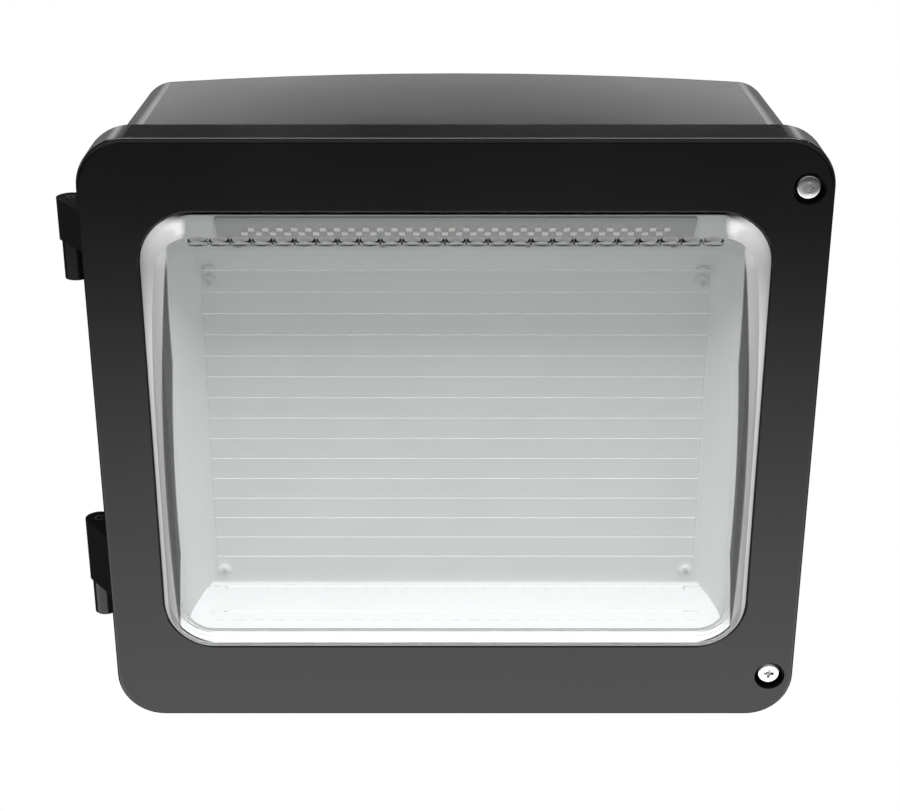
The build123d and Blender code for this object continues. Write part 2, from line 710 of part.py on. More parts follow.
# --- terminal block: moulded, three ways, with clamp screws --------------------------------------
terminal = extrude(facing(terminal_x, back_wall, gear_height) * Rectangle(terminal_length, terminal_width),
                   terminal_depth)
terminal = chamfer(terminal.faces().sort_by(Axis.Y)[0].edges(), gear_edge)
clamp_xs = [terminal_x + step * terminal_length / 3 for step in (-1, 0, 1)]
clamp_screws = []
for x in clamp_xs:
    seat = back_wall + terminal_depth - clamp_recess
    terminal -= rod(m4_head + 2 * shank_clearance, x, gear_height, seat, clamp_recess + over)
    terminal -= rod(m4_shank + 2 * shank_clearance, x, gear_height, back_wall + terminal_depth - clamp_bore,
                    clamp_bore - clamp_recess + over)
    screw = pan_screw(m4_head, m4_head_height, m4_shank, clamp_screw_length)
    clamp_screws.append((facing(x, seat, gear_height).location * screw).solid())
save("terminal_block", terminal.solid())
save("terminal_screws", *clamp_screws)


# --- leads: insulated wire, each on a fixed route between its two ends ---------------------------
def lead(*route):
    """A wire through points given as (x, reach, z), with arcs nearly as large as its runs allow."""
    points = [Vector(x, -reach, z) for x, reach, z in route]
    runs = [(after - before).length for before, after in zip(points, points[1:])]
    radii = []
    for index in range(1, len(points) - 1):
        turn = (points[index] - points[index - 1]).get_angle(points[index + 1] - points[index])
        tangent = math.tan(math.radians(turn) / 2)
        radii.append(lead_arc * min(runs[index - 1], runs[index]) / tangent)
    print("lead radii", [round(radius, 1) for radius in radii])
    path = FilletPolyline(*points, radius=radii)
    start = Plane(origin=points[0], z_dir=points[1] - points[0])
    return sweep(start * Circle(lead_diameter / 2), path=path)


driver_end = driver_length / 2
wire_reach = pad_reach + driver_depth / 2
terminal_foot = gear_height - terminal_width / 2
terminal_head = gear_height + terminal_width / 2
terminal_reach = back_wall + terminal_depth / 2
upper_wire = driver_height + lead_spacing / 2
lower_wire = driver_height - lead_spacing / 2

# Points that the leads' routes turn at, as distances from the ends that they join.
supply_drop = 15.0           # straight down out of the terminal block
supply_fall = 45.0
live_side = 21.0             # out past the clamp
neutral_side = 22.0          # out past the driver's end
supply_slant = 1.0
led_out = 12.0               # straight back out of the connector
led_back = 42.0
led_rise = 14.0
led_across = 3.0
led_down_xs = (9.0, 11.0)
led_forward = 10.0
led_fall = 25.0
led_turn = 30.0              # below the gear's centre line
led_pin = 3.0                # from the connector's centre to each of its wires
surge_out = 18.0
surge_bow = 42.0
surge_lift = 6.0
surge_reach = 3.0
surge_wire = 5.0             # from the gear's centre line to each wire
ground_out = 22.0
ground_fall = 22.0
ground_slant = 1.0
crimp_offset = 4.2           # from the ring terminal's centre to the wire's end

save("live_lead", lead(
    (clamp_xs[0], terminal_reach, terminal_foot),
    (clamp_xs[0], terminal_reach, terminal_foot - supply_drop),
    (clamp_xs[0] - live_side, wire_reach, terminal_foot - supply_fall),
    (clamp_xs[0] - live_side - supply_slant, wire_reach, lower_wire),
    (-driver_end, wire_reach, lower_wire),
).solid())
save("neutral_lead", lead(
    (clamp_xs[1], terminal_reach, terminal_foot),
    (clamp_xs[1], terminal_reach, terminal_foot - supply_drop),
    (-driver_end - neutral_side, wire_reach, terminal_foot - supply_fall),
    (-driver_end - neutral_side - supply_slant, wire_reach, upper_wire),
    (-driver_end, wire_reach, upper_wire),
).solid())

connector_back = slope * Pos(connector_x, 0, -connector_depth)
led_ends = (("positive", -1, upper_wire, led_down_xs[0]), ("negative", 1, lower_wire, led_down_xs[1]))
for name, side, height, down in led_ends:
    start = connector_back * Pos(side * led_pin, 0, 0)
    exit_x = start.position.X
    exit_reach = -start.position.Y
    exit_z = start.position.Z
    down_x = exit_x + down
    save(f"led_lead_{name}", lead(
        (exit_x, exit_reach, exit_z),
        (exit_x, exit_reach - led_out, exit_z + led_out),
        (exit_x + led_across, exit_reach - led_back, exit_z + led_rise),
        (down_x, wire_reach + led_forward, exit_z - led_fall),
        (down_x, wire_reach, gear_height - led_turn),
        (down_x, wire_reach, height),
        (driver_end, wire_reach, height),
    ).solid())

surge_start = surge_x - surge_length / 2
surge_end = terminal_x + terminal_length / 2
for name, shift in (("live", surge_wire), ("neutral", -surge_wire)):
    save(f"surge_lead_{name}", lead(
        (surge_start, terminal_reach + surge_reach, gear_height + shift),
        (surge_start - surge_out, terminal_reach + surge_reach, gear_height + shift),
        (surge_start - surge_bow, terminal_reach + surge_reach + surge_lift, gear_height + shift - surge_wire),
        (surge_end + surge_out, terminal_reach, gear_height + shift),
        (surge_end, terminal_reach, gear_height + shift),
    ).solid())

# --- ground lead with its ring terminal, and the ground screw ------------------------------------
ground_ring = rod(ring_terminal, *ground_spot, pad_reach, ring_thickness)
crimp_reach = pad_reach + lead_diameter / 2 + ring_thickness / 4
ground_wire = lead(
    (ground_x - crimp_offset, crimp_reach, ground_height),
    (ground_x - ground_out, crimp_reach, ground_height - ground_slant),
    (clamp_xs[2], terminal_reach, ground_height - ground_fall),
    (clamp_xs[2], terminal_reach, terminal_head),
)
ground = ground_ring + ground_wire
ground -= rod(m4_head + 2 * shank_clearance, *ground_spot, pad_reach + ring_thickness, lead_diameter + over)
ground -= rod(m4_shank + 2 * shank_clearance, *ground_spot, pad_reach - over, ring_thickness + 2 * over)
save("ground_lead", ground.solid())
screw = pan_screw(m4_head, m4_head_height, m4_shank, gear_screw_length)
ground_place = facing(ground_x, pad_reach + ring_thickness, ground_height)
save("ground_screw", (ground_place.location * screw).solid())
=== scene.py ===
import json
import math

import bmesh
import bpy
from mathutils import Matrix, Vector

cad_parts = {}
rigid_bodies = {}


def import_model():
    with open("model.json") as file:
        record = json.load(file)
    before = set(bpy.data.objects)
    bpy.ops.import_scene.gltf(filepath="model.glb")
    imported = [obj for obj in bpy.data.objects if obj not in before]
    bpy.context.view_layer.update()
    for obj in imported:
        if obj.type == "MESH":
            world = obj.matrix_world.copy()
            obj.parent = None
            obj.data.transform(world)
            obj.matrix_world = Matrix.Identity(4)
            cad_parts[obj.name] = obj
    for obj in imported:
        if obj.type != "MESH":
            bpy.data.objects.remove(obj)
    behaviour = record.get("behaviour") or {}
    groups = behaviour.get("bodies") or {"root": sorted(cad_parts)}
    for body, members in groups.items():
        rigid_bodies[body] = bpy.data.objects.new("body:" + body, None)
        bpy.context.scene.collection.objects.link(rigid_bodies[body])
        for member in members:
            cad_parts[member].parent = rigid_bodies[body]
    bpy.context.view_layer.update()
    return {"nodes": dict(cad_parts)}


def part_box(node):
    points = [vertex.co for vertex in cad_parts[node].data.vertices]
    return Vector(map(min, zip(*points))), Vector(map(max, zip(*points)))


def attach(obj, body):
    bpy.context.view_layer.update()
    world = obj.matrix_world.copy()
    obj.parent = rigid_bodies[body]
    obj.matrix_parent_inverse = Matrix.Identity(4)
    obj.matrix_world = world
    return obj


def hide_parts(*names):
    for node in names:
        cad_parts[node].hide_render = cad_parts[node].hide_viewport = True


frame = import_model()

# --- Rear housing --------------------------------------------------------------------------------
# One aluminium die casting with a fine-textured black powder coat: a drafted box, open towards
# the door, that holds everything and stands with its flat back against the wall.
mm = 0.001


def new_material(name):
    """A fresh node material, with its node tree and its Principled shader."""
    material = bpy.data.materials.new(name)
    material.use_nodes = True
    tree = material.node_tree
    return material, tree, tree.nodes["Principled BSDF"]


def add_noise(tree, scale, detail=2.0, roughness=0.5, stretch=(1, 1, 1)):
    """A noise texture on Object coordinates, its scale in repeats a metre."""
    place = tree.nodes.new("ShaderNodeTexCoord")
    mapping = tree.nodes.new("ShaderNodeMapping")
    mapping.inputs["Scale"].default_value = stretch
    noise = tree.nodes.new("ShaderNodeTexNoise")
    noise.inputs["Scale"].default_value = scale
    noise.inputs["Detail"].default_value = detail
    noise.inputs["Roughness"].default_value = roughness
    tree.links.new(place.outputs["Object"], mapping.inputs["Vector"])
    tree.links.new(mapping.outputs["Vector"], noise.inputs["Vector"])
    return noise.outputs["Fac"]


def add_ramp(tree, source, stops):
    """A colour ramp from (position, colour) stops; a single number is a grey."""
    ramp = tree.nodes.new("ShaderNodeValToRGB")
    elements = ramp.color_ramp.elements
    for index, (position, color) in enumerate(stops):
        element = elements[index] if index < 2 else elements.new(position)
        element.position = position
        element.color = (*color, 1) if isinstance(color, tuple) else (color, color, color, 1)
    tree.links.new(source, ramp.inputs["Fac"])
    return ramp.outputs["Color"]


def vary(tree, socket, source, *stops):
    """Drives a socket by a source, through (position, value) stops."""
    tree.links.new(add_ramp(tree, source, stops), socket)


def add_bump(tree, shader, source, strength, distance):
    """Bump from a height, in metres, on top of any bump that the shader already has."""
    bump = tree.nodes.new("ShaderNodeBump")
    bump.inputs["Strength"].default_value = strength
    bump.inputs["Distance"].default_value = distance
    tree.links.new(source, bump.inputs["Height"])
    normal = shader.inputs["Normal"]
    if normal.is_linked:
        tree.links.new(normal.links[0].from_socket, bump.inputs["Normal"])
    tree.links.new(bump.outputs["Normal"], normal)


def dress(node, material):
    """Gives a carried-over node its material."""
    piece = frame["nodes"][node]
    if not piece.material_slots:
        piece.data.materials.append(material)
    for slot in piece.material_slots:
        slot.material = material


def powder_coat(name, grey, roughness):
    """Baked black powder: fine grains, a slight orange peel and faint clouds in its gloss."""
    material, tree, shader = new_material(name)
    grains = add_noise(tree, scale=1500, detail=3, roughness=0.7)
    peel = add_noise(tree, scale=260)
    cloud = add_noise(tree, scale=14, detail=4)
    drift = 0.015
    vary(tree, shader.inputs["Base Color"], grains, (0.35, grey * 0.72), (0.62, grey * 1.3))
    vary(tree, shader.inputs["Roughness"], cloud,
         (0.3, roughness - drift), (0.7, roughness + drift))
    add_bump(tree, shader, grains, strength=0.12, distance=0.05 * mm)
    add_bump(tree, shader, peel, strength=0.08, distance=0.08 * mm)
    return material


dress("rear_housing", powder_coat("housing_black", grey=0.006, roughness=0.15))

# --- Conduit plugs -------------------------------------------------------------------------------
# Three threaded aluminium close-up plugs with a hexagon socket, coated black and screwed hard
# against the spot faces of the conduit entries.
dress("conduit_plugs", powder_coat("plug_black", grey=0.01, roughness=0.36))

# --- Wall gasket ---------------------------------------------------------------------------------
# A flat ring of closed-cell foam rubber in the groove of the housing's back, which keeps rain
# out between the light and the wall.


def shaded(color, share):
    """A colour at a share of its brightness."""
    return tuple(channel * share for channel in color)


def rubber(name, color, roughness, pits_per_metre):
    """Moulded or foamed rubber with a dull skin full of fine pits."""
    material, tree, shader = new_material(name)
    pits = add_noise(tree, scale=pits_per_metre, detail=4, roughness=0.65)
    vary(tree, shader.inputs["Base Color"], pits, (0.35, shaded(color, 0.8)), (0.65, color))
    shader.inputs["Roughness"].default_value = roughness
    add_bump(tree, shader, pits, strength=0.5, distance=0.2 * mm)
    return material


dress("wall_gasket", rubber("foam_rubber", (0.035, 0.035, 0.036), roughness=0.9,
                            pits_per_metre=900))

# --- LED driver ----------------------------------------------------------------------------------
# A closed can of drawn aluminium with a satin finish, held to the housing's pads by zinc-plated
# steel screws through its two ears.


def bare_metal(name, color, roughness, stretch=(1, 1, 1), lines_per_metre=300):
    """Rolled or drawn metal with fine lines along its length and a slightly cloudy gloss."""
    material, tree, shader = new_material(name)
    lines = add_noise(tree, scale=lines_per_metre, detail=4, roughness=0.6, stretch=stretch)
    cloud = add_noise(tree, scale=40, detail=3)
    drift = 0.06
    vary(tree, shader.inputs["Base Color"], lines, (0.3, shaded(color, 0.88)), (0.7, color))
    vary(tree, shader.inputs["Roughness"], cloud,
         (0.3, roughness - drift), (0.7, roughness + drift))
    shader.inputs["Metallic"].default_value = 1
    add_bump(tree, shader, lines, strength=0.2, distance=0.04 * mm)
    return material


dress("led_driver", bare_metal("driver_can", (0.7, 0.71, 0.73), roughness=0.42,
                               stretch=(0.04, 1, 1), lines_per_metre=220))
zinc = bare_metal("zinc_plate", (0.74, 0.74, 0.72), roughness=0.28, lines_per_metre=500)
dress("driver_screws", zinc)

# --- Surge protector and terminal block ----------------------------------------------------------
# A block of blue potting with one ear and a zinc-plated screw, and next to it a three-way block
# moulded in white nylon, whose zinc-plated clamp screws hold the supply wires.


def fine_skin(name, color, roughness):
    """The fine spark-eroded texture of moulded plastic, or a thin dyed or poured coat like it."""
    material, tree, shader = new_material(name)
    grain = add_noise(tree, scale=1200, detail=3)
    vary(tree, shader.inputs["Base Color"], grain, (0.35, shaded(color, 0.9)), (0.65, color))
    shader.inputs["Roughness"].default_value = roughness
    add_bump(tree, shader, grain, strength=0.25, distance=0.06 * mm)
    return material


dress("surge_protector", fine_skin("blue_potting", (0.03, 0.09, 0.3), roughness=0.4))
dress("surge_protector_screw", zinc)
nylon = fine_skin("white_nylon", (0.72, 0.72, 0.7), roughness=0.45)
dress("terminal_block", nylon)
dress("terminal_screws", zinc)

# --- Leads and ground screw ----------------------------------------------------------------------
# Wire in PVC on fixed routes: supply leads from the terminal block to the driver and the surge
# protector, two leads from the driver to the LED board's connector, and a green one that ends in
# a ring terminal under the green-dyed ground screw.
lead_colors = {
    "black_pvc": (0.015, 0.015, 0.016),
    "white_pvc": (0.75, 0.75, 0.75),
    "red_pvc": (0.5, 0.015, 0.015),
    "green_pvc": (0.02, 0.3, 0.07),
}
lead_covers = {name: fine_skin(name, color, roughness=0.35) for name, color in lead_colors.items()}
for node, cover in (
    ("live_lead", "black_pvc"),
    ("neutral_lead", "white_pvc"),
    ("surge_lead_live", "black_pvc"),
    ("surge_lead_neutral", "white_pvc"),
    ("led_lead_positive", "red_pvc"),
    ("led_lead_negative", "black_pvc"),
    ("ground_lead", "green_pvc"),
):
    dress(node, lead_covers[cover])
dress("ground_screw", fine_skin("green_zinc", (0.02, 0.28, 0.08), roughness=0.3))

# --- Reflector -----------------------------------------------------------------------------------
# Folded aluminium sheet with a smooth white coat, screwed to four posts. Its upper slope carries
# the LED board, and its other three slopes throw the light forwards.


def white_coat(name, white, roughness):
    """Smooth white paint with a very faint unevenness."""
    material, tree, shader = new_material(name)
    cloud = add_noise(tree, scale=22, detail=5)
    grain = add_noise(tree, scale=900)
    vary(tree, shader.inputs["Base Color"], cloud, (0.3, white * 0.97), (0.7, white))
    shader.inputs["Roughness"].default_value = roughness
    add_bump(tree, shader, grain, strength=0.15, distance=0.05 * mm)
    return material


tray_white = white_coat("reflector_white", white=0.82, roughness=0.4)
dress("reflector", tray_white)
dress("reflector_screws", tray_white)

# --- LED bracket ---------------------------------------------------------------------------------
# A strip of mill-finish aluminium, bent to lie against the back of the tray's upper slope, where
# it spreads the heat of the LEDs.
dress("led_bracket", bare_metal("rolled_aluminium", (0.78, 0.79, 0.8), roughness=0.38,
                                stretch=(0.05, 1, 1)))

# --- LED board -----------------------------------------------------------------------------------
# An aluminium-core circuit board under white solder mask, with two staggered rows of LEDs under
# pale phosphor and a nylon connector behind. White-headed screws hold it to the upper slope. Mask
# and screw heads are painted grey as painted shade, for the shade that the board lies in.
# Painted shade: a grey of 0.45 in place of the mask's white.
shaded_solder_mask = white_coat("shaded_solder_mask", white=0.45, roughness=0.3)
dress("led_board", shaded_solder_mask)
dress("led_board_screws", shaded_solder_mask)
dress("leds", fine_skin("phosphor", (0.93, 0.92, 0.86), roughness=0.3))
dress("led_connector", nylon)

# --- Hinge pins ----------------------------------------------------------------------------------
# Two slotted pins rolled from dark spring steel, each driven through the knuckles of one hinge,
# where they stay by their own spring.
spring_steel = bare_metal("spring_steel", (0.05, 0.05, 0.052), roughness=0.4, stretch=(1, 1, 0.1))
dress("hinge_pin_upper", spring_steel)
dress("hinge_pin_lower", spring_steel)

# --- Door frame ----------------------------------------------------------------------------------
# A hollow-backed aluminium die casting in the same black powder coat, hinged on the left and
# closed by two captive screws on the right.
dress("door_frame", powder_coat("door_black", grey=0.004, roughness=0.15))

# --- Door gasket and lens gasket -----------------------------------------------------------------
# Grey silicone rubber: a strip in the channel of the housing's rim that the door's pocket wall
# presses on, and a flat ring between the lens's flange and the door.
dress("door_gasket", rubber("silicone_seal", (0.42, 0.42, 0.41), roughness=0.55,
                            pits_per_metre=500))
dress("lens_gasket", rubber("silicone_flat", (0.6, 0.6, 0.59), roughness=0.5,
                            pits_per_metre=400))

# --- Lens clips ----------------------------------------------------------------------------------
# Six short strips of zinc-plated steel, screwed to pads in the door, that hold the lens by its
# flange.
dress("lens_clips", zinc)
dress("lens_clip_screws", zinc)

# --- Lens ----------------------------------------------------------------------------------------
# Pressed borosilicate glass: a shallow tray with a clamped flange, rounded front edges,
# horizontal prisms across its face and flutes at its upper edge and its foot.
lens_low, lens_high = (Vector(corner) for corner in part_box("lens"))
lens_middle = (lens_low.z + lens_high.z) / 2
lens_flange = 5.5 * mm
flange_thickness = 5 * mm
lens_wall = 4.5 * mm
lens_corner = 26 * mm
lens_edge = 14.5 * mm
corner_segments = 14
edge_segments = 8


def clear_selection():
    for item in bpy.context.view_layer.objects:
        item.select_set(False)


def select_only(piece):
    clear_selection()
    piece.select_set(True)
    bpy.context.view_layer.objects.active = piece


def start_box(name, low, high):
    """A new box between two corners, in edit mode with nothing selected."""
    clear_selection()
    bpy.ops.mesh.primitive_cube_add(size=1, location=(low + high) / 2)
    piece = bpy.context.object
    piece.name = name
    piece.scale = high - low
    bpy.ops.object.transform_apply(location=True, rotation=True, scale=True)
    bpy.ops.object.mode_set(mode="EDIT")
    bpy.ops.mesh.select_all(action="DESELECT")
    return piece


def pick(piece, mode, test):
    """In edit mode, selects the faces or edges for which the test holds."""
    bpy.ops.mesh.select_all(action="DESELECT")
    bpy.ops.mesh.select_mode(type=mode)
    mesh = bmesh.from_edit_mesh(piece.data)
    items = mesh.faces if mode == "FACE" else mesh.edges
    for item in items:
        if test(item):
            item.select_set(True)
    mesh.select_flush_mode()
    bmesh.update_edit_mesh(piece.data)


def edge_runs(edge, axis):
    """Whether an edge is parallel to an axis, given by its letter."""
    parallel = 0.999
    along = (edge.verts[1].co - edge.verts[0].co).normalized()
    return abs(along["XYZ".index(axis)]) > parallel


def edge_lies(edge, depth):
    """Whether both ends of an edge are at a depth, given as a value of Y."""
    tolerance = 0.02 * mm
    return all(abs(end.co.y - depth) < tolerance for end in edge.verts)


def face_looks(face, axis):
    """Whether a face looks towards the high end of an axis, given by its letter."""
    nearly = 0.9
    return face.normal["XYZ".index(axis)] > nearly


def bevel_where(piece, test, offset, segments):
    """Rounds or chamfers the edges for which the test holds."""
    pick(piece, "EDGE", test)
    bpy.ops.mesh.bevel(offset=offset, segments=segments, affect="EDGES")


def apply_modifier(piece, kind, **settings):
    """Gives a piece a modifier with these settings and applies it at once."""
    select_only(piece)
    modifier = piece.modifiers.new(kind.lower(), kind)
    for setting, value in settings.items():
        setattr(modifier, setting, value)
    bpy.ops.object.modifier_apply(modifier=modifier.name)


def repeat(piece, count, step):
    """Repeats a closed mesh in equal steps."""
    apply_modifier(piece, "ARRAY", count=count, use_relative_offset=False,
                   use_constant_offset=True, constant_offset_displace=step)


def merge_into(piece, addition):
    """Fuses another closed mesh into the piece and removes it."""
    apply_modifier(piece, "BOOLEAN", operation="UNION", solver="EXACT", use_self=True,
                   object=addition)
    bpy.data.objects.remove(addition)


def finish_piece(piece, body, material, *nodes, sharp=30):
    """Leaves edit mode, shades the piece, gives it its material and ties it to its body."""
    bpy.ops.object.mode_set(mode="OBJECT")
    select_only(piece)
    bpy.ops.object.shade_smooth_by_angle(angle=math.radians(sharp))
    piece.data.materials.clear()
    piece.data.materials.append(material)
    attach(piece, body)
    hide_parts(*nodes)


# The tray: a box with round corners and edges, hollowed from behind, and then its flange.
body_low = Vector((lens_low.x + lens_flange, lens_low.y, lens_low.z + lens_flange))
body_high = Vector((lens_high.x - lens_flange, lens_high.y, lens_high.z - lens_flange))
lens = start_box("lens_glass", body_low, body_high)
bevel_where(lens, lambda edge: edge_runs(edge, "Y"), lens_corner, corner_segments)
bevel_where(lens, lambda edge: edge_lies(edge, lens_low.y), lens_edge, edge_segments)
pick(lens, "FACE", lambda face: face_looks(face, "Y"))
bpy.ops.mesh.inset(thickness=lens_wall)
inner_front = lens_low.y + lens_wall
inner_depth = lens_high.y - inner_front
inner_radius = lens_edge - lens_wall / 2
bpy.ops.mesh.extrude_region_move(TRANSFORM_OT_translate={"value": (0, -inner_depth, 0)})
bevel_where(lens, lambda edge: edge_lies(edge, inner_front), inner_radius, edge_segments)
bpy.ops.mesh.select_all(action="SELECT")
flange_front = lens_high.y - flange_thickness
bpy.ops.mesh.bisect(plane_co=(0, flange_front, 0), plane_no=(0, 1, 0))


def on_outer_flange(face):
    """Whether a face belongs to the outside of the wall, behind the flange's front."""
    middle = face.calc_center_median()
    is_wall = abs(face.normal.y) < 0.1
    is_outside = face.normal.x * middle.x + face.normal.z * middle.z > 0
    return middle.y > flange_front and is_wall and is_outside


pick(lens, "FACE", on_outer_flange)
bpy.ops.mesh.extrude_region_shrink_fatten(TRANSFORM_OT_shrink_fatten={"value": lens_flange})
bpy.ops.object.mode_set(mode="OBJECT")

# The prisms: saw teeth across the inside of the face, each rooted in the glass. A tooth starts as
# a bar, whose lower inner edge sinks to the glass while its crest leans down a little.
prism_pitch = 11.05 * mm
prism_count = 15
prism_length = 243.6 * mm
prism_lift = 10.3 * mm
prism_rise = 2.5 * mm
prism_foot = 0.05 * mm
prism_root = 0.6 * mm
prism_lean = 0.1 * prism_pitch
prism_crest = inner_front + prism_rise
first_prism = lens_middle + prism_lift - (prism_count - 1) / 2 * prism_pitch

prisms = start_box(
    "lens_prisms",
    Vector((-prism_length / 2, inner_front - prism_root, first_prism - prism_pitch / 2)),
    Vector((prism_length / 2, prism_crest, first_prism + prism_pitch / 2)),
)


def move_crest_edge(side, shift):
    """Moves the first prism's inner edge that is below (-1) or above (1) its middle."""
    pick(prisms, "EDGE", lambda edge: edge_runs(edge, "X") and edge_lies(edge, prism_crest)
         and side * (edge.verts[0].co.z - first_prism) > 0)
    bpy.ops.transform.translate(value=shift)


move_crest_edge(-1, (0, prism_foot - prism_rise, 0))
move_crest_edge(1, (0, 0, -prism_lean))
bpy.ops.object.mode_set(mode="OBJECT")
repeat(prisms, prism_count, (0, 0, prism_pitch))
merge_into(lens, prisms)

# The flutes: low round ridges on the inside, across the upper edge and at the foot of the face,
# each a flattened bar half sunk in the glass.
flute_pitch = 10.2 * mm
flute_count = 25
flute_radius = 5 * mm
flute_height = 1.2 * mm
flute_sides = 24
top_turn = math.radians(26)
top_sink = 1.0 * mm
top_length = 8 * mm
foot_turn = math.radians(-5)


def flute_row(name, turn, middle, length):
    """A row of closed bars along X, turned from upright and centred on a depth and a height."""
    clear_selection()
    bpy.ops.mesh.primitive_cylinder_add(vertices=flute_sides, radius=flute_radius, depth=length)
    row = bpy.context.object
    row.name = name
    origin = (0, 0, 0)
    bpy.ops.object.mode_set(mode="EDIT")
    bpy.ops.mesh.select_all(action="SELECT")
    bpy.ops.transform.resize(value=(1, flute_height / flute_radius, 1), center_override=origin)
    bpy.ops.transform.rotate(value=-turn, orient_axis="X", center_override=origin)
    bpy.ops.transform.translate(value=(-(flute_count - 1) / 2 * flute_pitch, *middle))
    bpy.ops.object.mode_set(mode="OBJECT")
    repeat(row, flute_count, (flute_pitch, 0, 0))
    return row


top_reach = inner_radius + top_sink
top_middle = (
    inner_front + inner_radius - top_reach * math.cos(top_turn),
    body_high.z - lens_wall - inner_radius + top_reach * math.sin(top_turn),
)
merge_into(lens, flute_row("flutes_top", top_turn, top_middle, top_length))
for name, above_edge, sink, length in (
    ("flutes_foot", 33.0 * mm, 0.8 * mm, 14 * mm),
    ("flutes_end", 22.8 * mm, 0.5 * mm, 5 * mm),
):
    foot_middle = (inner_front - sink, body_low.z + above_edge)
    merge_into(lens, flute_row(name, foot_turn, foot_middle, length))

# The glass is clear, with the slight waviness that pressing leaves and a fine stipple behind the
# prisms. A white scatter on its side walls carries painted light and painted shade, and one on the
# prisms' steep faces a painted highlight. Light reaches the tray through it as through an open
# window, which the real one nearly is.
half_width = (body_high.x - body_low.x) / 2
half_height = (body_high.z - body_low.z) / 2
glass_white = 0.97


def new_math(tree, operation, *values):
    """A math node whose inputs are sockets or numbers."""
    node = tree.nodes.new("ShaderNodeMath")
    node.operation = operation
    for socket, value in zip(node.inputs, values):
        if isinstance(value, (int, float)):
            socket.default_value = value
        else:
            tree.links.new(value, socket)
    return node.outputs[0]


def product(tree, *values):
    """All the values multiplied in turn."""
    total = values[0]
    for value in values[1:]:
        total = new_math(tree, "MULTIPLY", total, value)
    return total


def fade(tree, value, start, end):
    """0 up to the start, 1 from the end on and even between them; the end may be the lower."""
    node = tree.nodes.new("ShaderNodeMapRange")
    node.inputs["From Min"].default_value = start
    node.inputs["From Max"].default_value = end
    tree.links.new(value, node.inputs["Value"])
    return node.outputs["Result"]


def lens_place(tree):
    """Sockets for X without its sign, height from the lens's middle and depth in from its walls."""
    place = tree.nodes.new("ShaderNodeTexCoord")
    parts = tree.nodes.new("ShaderNodeSeparateXYZ")
    tree.links.new(place.outputs["Object"], parts.inputs["Vector"])
    aside = new_math(tree, "ABSOLUTE", parts.outputs["X"])
    height = new_math(tree, "SUBTRACT", parts.outputs["Z"], lens_middle)
    rise = new_math(tree, "ABSOLUTE", height)
    past_x = new_math(tree, "SUBTRACT", aside, half_width - lens_corner)
    past_z = new_math(tree, "SUBTRACT", rise, half_height - lens_corner)
    past_x = new_math(tree, "MAXIMUM", past_x, 0.0)
    past_z = new_math(tree, "MAXIMUM", past_z, 0.0)
    squares = new_math(tree, "ADD", product(tree, past_x, past_x), product(tree, past_z, past_z))
    reach = new_math(tree, "SQRT", squares)
    return aside, height, new_math(tree, "SUBTRACT", lens_corner, reach)


def start_glass(name):
    """Clear glass that shadow and diffuse rays pass, with a white scatter mixed in by a share."""
    material, tree, shader = new_material(name)
    shader.inputs["Base Color"].default_value = (0.96, 0.97, 0.97, 1)
    shader.inputs["Transmission Weight"].default_value = 1
    shader.inputs["IOR"].default_value = 1.47
    add_bump(tree, shader, add_noise(tree, scale=45), strength=0.06, distance=0.4 * mm)
    scatter = tree.nodes.new("ShaderNodeBsdfDiffuse")
    scatter.inputs["Color"].default_value = (glass_white, glass_white, glass_white, 1)
    milky = tree.nodes.new("ShaderNodeMixShader")
    tree.links.new(shader.outputs["BSDF"], milky.inputs[1])
    tree.links.new(scatter.outputs["BSDF"], milky.inputs[2])
    window = tree.nodes.new("ShaderNodeBsdfTransparent")
    window.inputs["Color"].default_value = (0.95, 0.96, 0.96, 1)
    rays = tree.nodes.new("ShaderNodeLightPath")
    passing = new_math(tree, "MAXIMUM", rays.outputs["Is Shadow Ray"],
                       rays.outputs["Is Diffuse Ray"])
    choice = tree.nodes.new("ShaderNodeMixShader")
    tree.links.new(passing, choice.inputs["Fac"])
    tree.links.new(milky.outputs["Shader"], choice.inputs[1])
    tree.links.new(window.outputs["BSDF"], choice.inputs[2])
    tree.links.new(choice.outputs["Shader"], tree.nodes["Material Output"].inputs["Surface"])
    return material, tree, shader, scatter, milky.inputs["Fac"]


